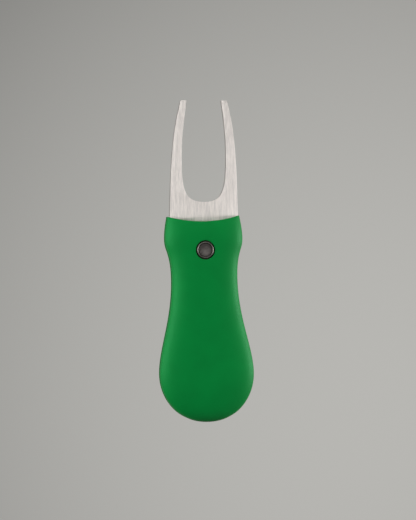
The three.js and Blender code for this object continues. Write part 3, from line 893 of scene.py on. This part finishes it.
class MakeScrews(bpy.types.Operator):
    """The screws in the back of the tail, one modelled and the other a copy"""
    bl_idname = "repair_tool.screws"
    bl_label = "Tail screws"

    def execute(self, context):
        (x, y), *others = SCREWS
        top = SCREW_SEAT - SCREW_HEAD
        first = turned("tail_screw_1", [
            (0.6, 9.4), (0.95, 9.05), (0.95, SCREW_SEAT), (1.72, SCREW_SEAT), (1.8, SCREW_SEAT - 0.1),
            (1.8, top + 0.2), (1.7, top + 0.08), (1.5, top), (0.2, top)], x, y, 48)
        drive = [(0.92, top - 0.25), (0.85, top + 0.15), (0.85, top + 0.55), (0.1, top + 0.75)]
        carve(first, turned("hex_drive", drive, x, y, 6))
        # The same painted highlight on the middle of the screw head, with painted shade round it.
        first.data.materials.append(black_nickel(context.scene.repair_button.metal, (x, y)))
        smooth(first, 35)
        pieces = [first]
        for number, place in enumerate(others, 2):
            copy = first.copy()
            copy.data = first.data.copy()
            copy.name = copy.data.name = f"tail_screw_{number}"
            context.collection.objects.link(copy)
            copy.location = ((place[0] - x) * MM, (place[1] - y) * MM, 0)
            only(copy)
            bpy.ops.object.transform_apply(location=True)
            pieces.append(copy)
        for number, piece in enumerate(pieces, 1):
            place_piece(piece, "handle", "gunmetal", f"shell_screw_{number}")
        return {"FINISHED"}


def wound(node_name, name):
    """A piece with the same coil as a CAD node, its facets merged and smoothed."""
    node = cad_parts[node_name]
    copy = node.copy()
    copy.data = node.data.copy()
    copy.name = copy.data.name = name
    copy.parent = None
    bpy.context.collection.objects.link(copy)
    only(copy)
    bpy.ops.object.mode_set(mode="EDIT")
    bpy.ops.mesh.select_all(action="SELECT")
    bpy.ops.mesh.remove_doubles(threshold=SAME_PLACE * MM)
    bpy.ops.object.mode_set(mode="OBJECT")
    modify(copy, "SUBSURF", levels=1, render_levels=1)
    copy.data.materials.clear()
    copy.data.materials.append(spring_wire())
    smooth(copy, 60)
    return copy


class MakeSprings(bpy.types.Operator):
    """The drive spring, which winds up as the fork folds, and the button's spring, which is pressed flat"""
    bl_idname = "repair_tool.springs"
    bl_label = "Springs"

    def execute(self, context):
        drive = wound("drive_spring", "drive_coil")
        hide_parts("drive_spring")
        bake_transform(drive)
        pressed = wound("button_spring", "button_coil")
        place_piece(pressed, "handle", "spring_steel", "button_spring")
        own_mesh(pressed)
        return {"FINISHED"}


class FinishFrame(bpy.types.Operator):
    """The finishes of the steel frame, the pivot and the small fittings, which keep their solids' shapes"""
    bl_idname = "repair_tool.frame"
    bl_label = "Frame and fittings"

    def execute(self, context):
        finishes = {
            blanked_steel: ("front_liner", "back_liner", "stop_block", "frame_rivet_1", "frame_rivet_2",
                            "pivot_bush", "lock_key"),
            moulded_nylon: ("tail_spacer",),
            turned_brass: ("front_washer", "back_washer", "threaded_insert_1", "threaded_insert_2"),
            spring_wire: ("key_clip", "marker_magnet"),
        }
        for finish, names in finishes.items():
            material = finish()
            for name in names:
                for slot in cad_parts[name].material_slots:
                    slot.material = material
        return {"FINISHED"}


def softbox(name, place, width, height, power):
    """A soft rectangular light that faces the tool."""
    facing = (-Vector(place)).to_track_quat("-Z", "Y").to_euler()
    bpy.ops.object.light_add(type="AREA", location=place, rotation=facing)
    lamp = bpy.context.object
    lamp.name = name
    lamp.data.shape = "RECTANGLE"
    lamp.data.size = width
    lamp.data.size_y = height
    lamp.data.energy = power
    lamp.visible_camera = False
    return lamp


class SetStudio(bpy.types.Operator):
    """A pale paper floor with a light of its own, soft light all round the tool, and the camera"""
    bl_idname = "repair_tool.studio"
    bl_label = "Studio"

    def execute(self, context):
        settings = context.scene.repair_studio
        scene = context.scene
        scene.view_settings.view_transform = "Standard"
        world = bpy.data.worlds.new("studio_air")
        scene.world = world
        world.use_nodes = True
        air = world.node_tree.nodes["Background"]
        air.inputs[0].default_value = (*linear("#dddcda"), 1)
        air.inputs[1].default_value = 0.12

        floor = begin("paper_floor", bpy.ops.mesh.primitive_plane_add, size=6,
                      location=(0, 0, -settings.drop))
        bpy.ops.mesh.subdivide(number_cuts=3)
        bpy.ops.mesh.select_all(action="SELECT")
        extrude(z=-5)
        close_edit()
        # The paper's colour carries a painted pool of light with painted shade round it.
        floor.data.materials.append(paper_painted_light_pool(settings.paper))

        lamps = [
            softbox("left_high", (-0.7, 0.22, 0.5), 0.5, 0.7, settings.fill * 3.25),
            softbox("left_low", (-0.6, 0.05, 0.08), 0.2, 0.6, settings.fill * 1.6),
            softbox("right_high", (0.7, 0.22, 0.5), 0.5, 0.7, settings.key),
            softbox("right_low", (0.6, 0, -0.01), 0.14, 0.6, settings.key * 3.1),
            softbox("above", (0, 0.7, 0.4), 0.8, 0.4, settings.fill * 2),
            softbox("below", (0.15, -0.5, 0.3), 0.4, 0.3, settings.fill * 0.2),
        ]
        bpy.ops.object.light_add(type="SUN", location=(0, 0, 1))
        wash = context.object
        wash.name = "paper_wash"
        wash.data.energy = settings.wash
        paper_alone = bpy.data.collections.new("paper_alone")
        paper_alone.objects.link(floor)
        wash.light_linking.receiver_collection = paper_alone
        wash.light_linking.blocker_collection = paper_alone
        all_but_paper = bpy.data.collections.new("all_but_the_paper")
        all_but_paper.objects.link(floor)
        all_but_paper.collection_objects[0].light_linking.link_state = "EXCLUDE"
        for lamp in lamps:
            lamp.light_linking.receiver_collection = all_but_paper

        lean = context.scene.repair_fork.lean
        up = Vector((math.sin(lean), math.cos(lean), 0))
        level = Vector((math.cos(lean), -math.sin(lean), 0))
        upright = Vector((0, 0, 1))
        away = upright * math.cos(settings.turn) - level * math.sin(settings.turn)
        right = level * math.cos(settings.turn) + upright * math.sin(settings.turn)
        pivot = Vector((0, 0, 6 * MM))
        middle = pivot + right * 1.5 * MM - up * 3.33 * MM  # the centre of the view
        bpy.ops.object.camera_add(location=middle + away * settings.distance)
        camera = context.object
        camera.name = "studio_camera"
        basis = Matrix((right, up, away)).transposed()
        camera.rotation_euler = basis.to_euler()
        camera.data.lens = camera.data.sensor_width * settings.distance / VIEW_WIDTH
        camera.data.clip_start = 0.05
        scene.camera = camera
        return {"FINISHED"}


class RepairToolPanel(bpy.types.Panel):
    """Lists the pieces of the repair tool and their settings"""
    bl_idname = "VIEW3D_PT_repair_tool"
    bl_label = "Repair tool"
    bl_space_type = "VIEW_3D"
    bl_region_type = "UI"
    bl_category = "Repair tool"

    def draw(self, context):
        for name, group in GROUPS.items():
            box = self.layout.box()
            for setting in group.__annotations__:
                box.prop(getattr(context.scene, name), setting)
        for operator in OPERATORS:
            self.layout.operator(operator.bl_idname)


OPERATORS = (MakeFrontShell, MakeBackShell, MakeFork, MakeButton, MakeMarker, MakeScrews, MakeSprings,
             FinishFrame, SetStudio)


def register():
    for item in (*GROUPS.values(), *OPERATORS, RepairToolPanel):
        bpy.utils.register_class(item)
    for name, group in GROUPS.items():
        setattr(bpy.types.Scene, name, bpy.props.PointerProperty(type=group))


def unregister():
    for name in GROUPS:
        delattr(bpy.types.Scene, name)
    for item in (RepairToolPanel, *reversed(OPERATORS), *reversed(GROUPS.values())):
        bpy.utils.unregister_class(item)


def main():
    register()
    for operator in OPERATORS:
        getattr(bpy.ops.repair_tool, operator.bl_idname.split(".")[1])()


if __name__ == "__main__":
    main()
